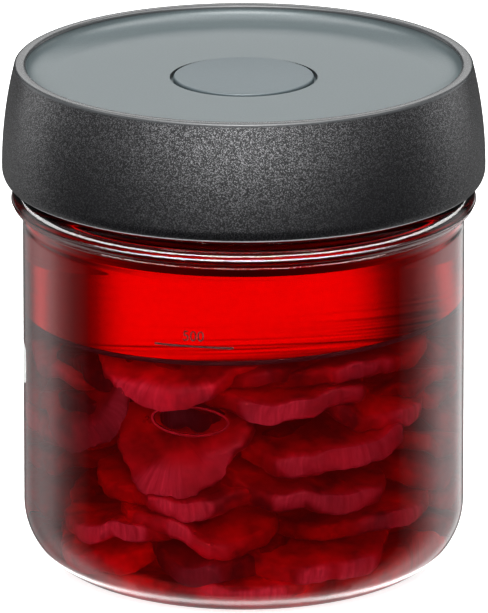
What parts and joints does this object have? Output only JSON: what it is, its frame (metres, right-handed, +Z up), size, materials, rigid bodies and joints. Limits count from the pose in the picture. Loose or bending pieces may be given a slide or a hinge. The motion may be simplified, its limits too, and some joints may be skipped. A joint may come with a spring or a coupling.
{
  "type": "fermentation jar",
  "caption": "Wide clear glass jar of beetroot slices in red brine, with a round foot, a bead under the mouth and a wide grey cap with a dished top and a round vent button.",
  "frame": {"origin": "centre of the jar's flat base", "axes": "+Z up along the jar's axis, -Y towards the camera of the picture, +X to its right"},
  "size_m": [0.117, 0.117, 0.126],
  "materials": {
    "clear_glass": "clear, polished",
    "red_brine": "clear red liquid",
    "cap_plastic": "charcoal grey with a fine sparkling grain",
    "button_plastic": "satin charcoal grey"
  },
  "bodies": {
    "root": {"glass_jar": "clear_glass", "brine": "red_brine", "cap": "cap_plastic", "cap_button": "button_plastic"}
  },
  "joints": []
}
